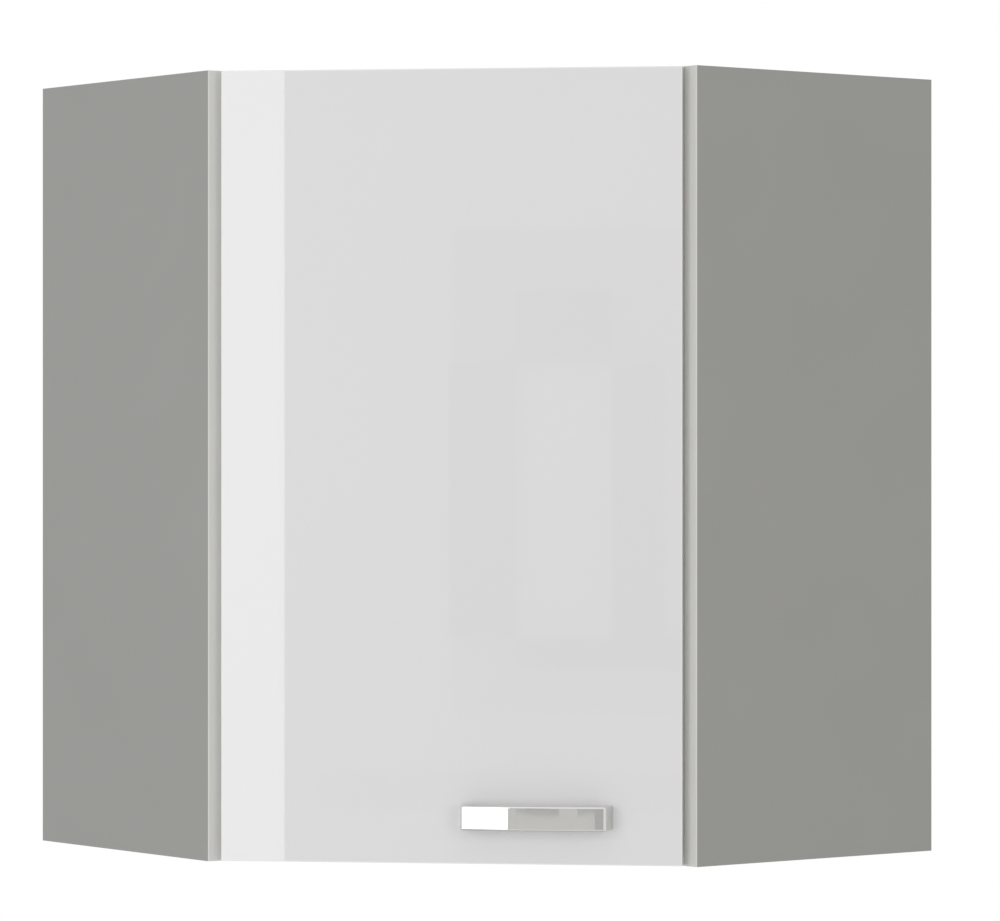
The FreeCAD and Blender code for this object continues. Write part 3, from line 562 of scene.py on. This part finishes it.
# %% Paper sweep
def pick(piece, kind, test):
    """Selects the vertices or the polygons of a piece that pass a test, and goes on in edit mode."""
    bpy.ops.object.mode_set(mode="EDIT")
    bpy.ops.mesh.select_mode(type="VERT" if kind == "vertices" else "FACE")
    bpy.ops.mesh.select_all(action="DESELECT")
    bpy.ops.object.mode_set(mode="OBJECT")
    for element in getattr(piece.data, kind):
        element.select = test(element)
    bpy.ops.object.mode_set(mode="EDIT")


sweep, bend, near = 0.8, 0.3, 1 * MM
foot = min(vertex.co.z for vertex in screen.data.vertices) + near
back = min(vertex.co.dot(into_cabinet) for vertex in screen.data.vertices) + near
pick(screen, "vertices", lambda vertex: vertex.co.z < foot)
bpy.ops.mesh.extrude_region_move(TRANSFORM_OT_translate={"value": into_cabinet * sweep})
pick(screen, "vertices", lambda vertex: vertex.co.z < foot and vertex.co.dot(into_cabinet) < back)
bpy.ops.mesh.bevel(offset=bend, segments=8, affect="EDGES")
bpy.ops.object.mode_set(mode="OBJECT")
screen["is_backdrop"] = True
print("the paper has", len(screen.data.polygons), "faces, and its foot is at", round(foot, 2), "m")

# %% [markdown]
# What stands behind the camera is painted as any piece is. For the camera's own rays it is clear, so that
# it never hides the cabinet or the background. The paper also glows a little, as if a window were behind
# it. It is still dimmer than the room's white, so the handle mirrors it as a soft grey.

# %% Matt white paper
PAINT_CLOUD, PAPER_GLOW = 300 * MM, 0.2


def unseen_paint(piece, name, dark, light):
    """Gives a piece a softly clouded matt paint that the camera looks through, and returns its shader."""
    material, tree, shader, place = new_finish(name)
    pattern = {"Vector": place.outputs["Object"], "Scale": 1 / PAINT_CLOUD, "Detail": 2.0}
    cloud = add(tree, "ShaderNodeTexNoise", pattern).outputs["Fac"]
    tones = {0: cloud, COLOUR_A: linear(dark), COLOUR_B: linear(light)}
    colour = add(tree, "ShaderNodeMix", tones, data_type="RGBA")
    plug(tree, shader, {"Base Color": colour.outputs[COLOUR_OUT], "Roughness": 0.9})
    looked_at = add(tree, "ShaderNodeLightPath").outputs["Is Camera Ray"]
    clear = add(tree, "ShaderNodeBsdfTransparent")
    either = add(tree, "ShaderNodeMixShader", {0: looked_at, 1: shader.outputs[0], 2: clear.outputs[0]})
    plug(tree, tree.nodes["Material Output"], {"Surface": either.outputs[0]})
    piece.data.materials.append(material)
    print(name, "on", piece.name)
    return shader


paper = unseen_paint(screen, "matt_white_paper", "#f0f0ef", "#f4f4f3")
paper.inputs["Emission Strength"].default_value = PAPER_GLOW

# %% [markdown]
# A gloss door in a room is never quite even: it holds a ghost of what it faces. Here that is a piece of
# pale wall with a window in it, grey curtains at the sides, a pelmet above and a long sill below.
# Separate boards could be laid together. One grid is quicker, with its lines slid to the edges of these
# things.

# %% Grid with lines that slide
def slid_grid(name, columns, rows):
    """A grid with its lines at given millimetres: columns towards the door's hinge side, rows up."""
    bpy.ops.mesh.primitive_grid_add(x_subdivisions=len(columns) - 1, y_subdivisions=len(rows) - 1, size=1.0)
    piece = bpy.context.object
    piece.name = name
    for axis, places in enumerate((columns, rows)):
        for number, place in enumerate(places):
            start = number / (len(places) - 1) - 0.5
            pick(piece, "vertices", lambda vertex: abs(vertex.co[axis] - start) < near)
            bpy.ops.transform.translate(value=[place * MM - start if i == axis else 0 for i in range(3)])
    bpy.ops.object.mode_set(mode="OBJECT")
    print(name, "has", len(piece.data.polygons), "cells")
    return piece


wall_columns = (80, 255, 355, 535, 660)
wall_rows = (-125, -40, 15, 530, 665, 780)
wall = slid_grid("window_wall", wall_columns, wall_rows)

# %% [markdown]
# The pane's cell is deleted, so that the bright paper shows through. The cells of the curtains, the
# pelmet and the sill get a second, darker finish, and are pulled forward by an extrude.

# %% Pane, curtains, pelmet and sill
def in_cells(columns, rows, cells):
    """A test that passes the faces in some cells of such a grid, each given as column and row from 0."""

    def test(face):
        x, y = face.center.x / MM, face.center.y / MM
        return any(columns[c] < x < columns[c + 1] and rows[r] < y < rows[r + 1] for c, r in cells)

    return test


pane = ((2, 2),)
curtains_pelmet_sill = ((1, 2), (3, 2), (2, 3), (0, 1), (1, 1), (2, 1))
linen_depth, linen_slot = 60 * MM, 1
unseen_paint(wall, "pale_wall_paint", "#dfdfdd", "#e3e3e1")
unseen_paint(wall, "grey_curtain_linen", "#7d7a76", "#8a8783")
pick(wall, "polygons", in_cells(wall_columns, wall_rows, pane))
bpy.ops.mesh.delete(type="FACE")
pick(wall, "polygons", in_cells(wall_columns, wall_rows, curtains_pelmet_sill))
wall.active_material_index = linen_slot
bpy.ops.object.material_slot_assign()
bpy.ops.mesh.extrude_region_move(TRANSFORM_OT_translate={"value": (0, 0, linen_depth)})
bpy.ops.object.mode_set(mode="OBJECT")
print("dark faces:", sum(face.material_index == linen_slot for face in wall.data.polygons))

# %% [markdown]
# The wall was modelled lying down, where its lines are plain X and Y. Now it is stood upright before the
# paper. Its turn and place are applied, so that they end up in the mesh.

# %% Wall behind the camera
def face_door(piece, distance):
    """Stands a flat piece upright at a distance in millimetres from the door, turned to the door."""
    piece.location = front_point(0, -distance, 0)
    piece.rotation_euler = facing_door
    bpy.ops.object.transform_apply(location=True, rotation=True, scale=True)
    print(piece.name, "stands at", distance, "mm with", len(piece.data.polygons), "faces")


wall_distance = 4580
face_door(wall, wall_distance)
wall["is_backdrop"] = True

# %% [markdown]
# The handle hangs lower, so its chrome looks at a lower part of the room. A white breakfast bar stands
# there, and gives the chrome a thin grey line along its top and a grey patch at its right end. It is the
# same kind of grid: the bar's two tops, a gap between them, and one leg.

# %% Breakfast bar
bar_columns = (-1360, -1030, -600, -160, 910)
bar_rows = (-420, -307, -235)
gap_and_leg_room = ((2, 1), (1, 0), (2, 0), (3, 0))
bar_depth, bar_distance = 40 * MM, 4560
bar = slid_grid("breakfast_bar", bar_columns, bar_rows)
unseen_paint(bar, "white_painted_board", "#f6f6f5", "#f9f9f8")
pick(bar, "polygons", in_cells(bar_columns, bar_rows, gap_and_leg_room))
bpy.ops.mesh.delete(type="FACE")
bpy.ops.mesh.select_all(action="SELECT")
bpy.ops.mesh.extrude_region_move(TRANSFORM_OT_translate={"value": (0, 0, bar_depth)})
bpy.ops.object.mode_set(mode="OBJECT")
face_door(bar, bar_distance)
bar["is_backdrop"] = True

# %% [markdown]
# Looking past the cabinet, the camera sees plain white, and so do mirrors and clear plastic. A room that
# bright would wash the colours out, so the Light Path node tells the rays apart: those that only gather
# light get a dimmer, even room.

# %% World
room_light, seen_white = 0.615, 1.0
world = bpy.data.worlds.new("white_room")
bpy.context.scene.world = world
world.use_nodes = True
tree = world.node_tree
tree.nodes.clear()
path = add(tree, "ShaderNodeLightPath").outputs
seen = add(tree, "ShaderNodeMath", {0: path["Is Camera Ray"], 1: path["Is Glossy Ray"]}, operation="MAXIMUM")
through = {0: seen.outputs[0], 1: path["Is Transmission Ray"]}
shown = add(tree, "ShaderNodeMath", through, operation="MAXIMUM")
room = add(tree, "ShaderNodeBackground", {"Color": linear("#ffffff"), "Strength": room_light})
white = add(tree, "ShaderNodeBackground", {"Color": linear("#ffffff"), "Strength": seen_white})
mixed = add(tree, "ShaderNodeMixShader", {0: shown.outputs[0], 1: room.outputs[0], 2: white.outputs[0]})
add(tree, "ShaderNodeOutputWorld", {"Surface": mixed.outputs[0]})
bpy.context.scene.view_settings.view_transform = "Standard"
print("the room lights with", room_light, "and is seen as", seen_white)

# %% [markdown]
# Blender must not change the cabinet's size. The box after dressing is kept beside the CAD box, so that
# the two can be compared.

# %% Sizes
low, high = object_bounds()
print("visual box", rounded((*low, *high)))
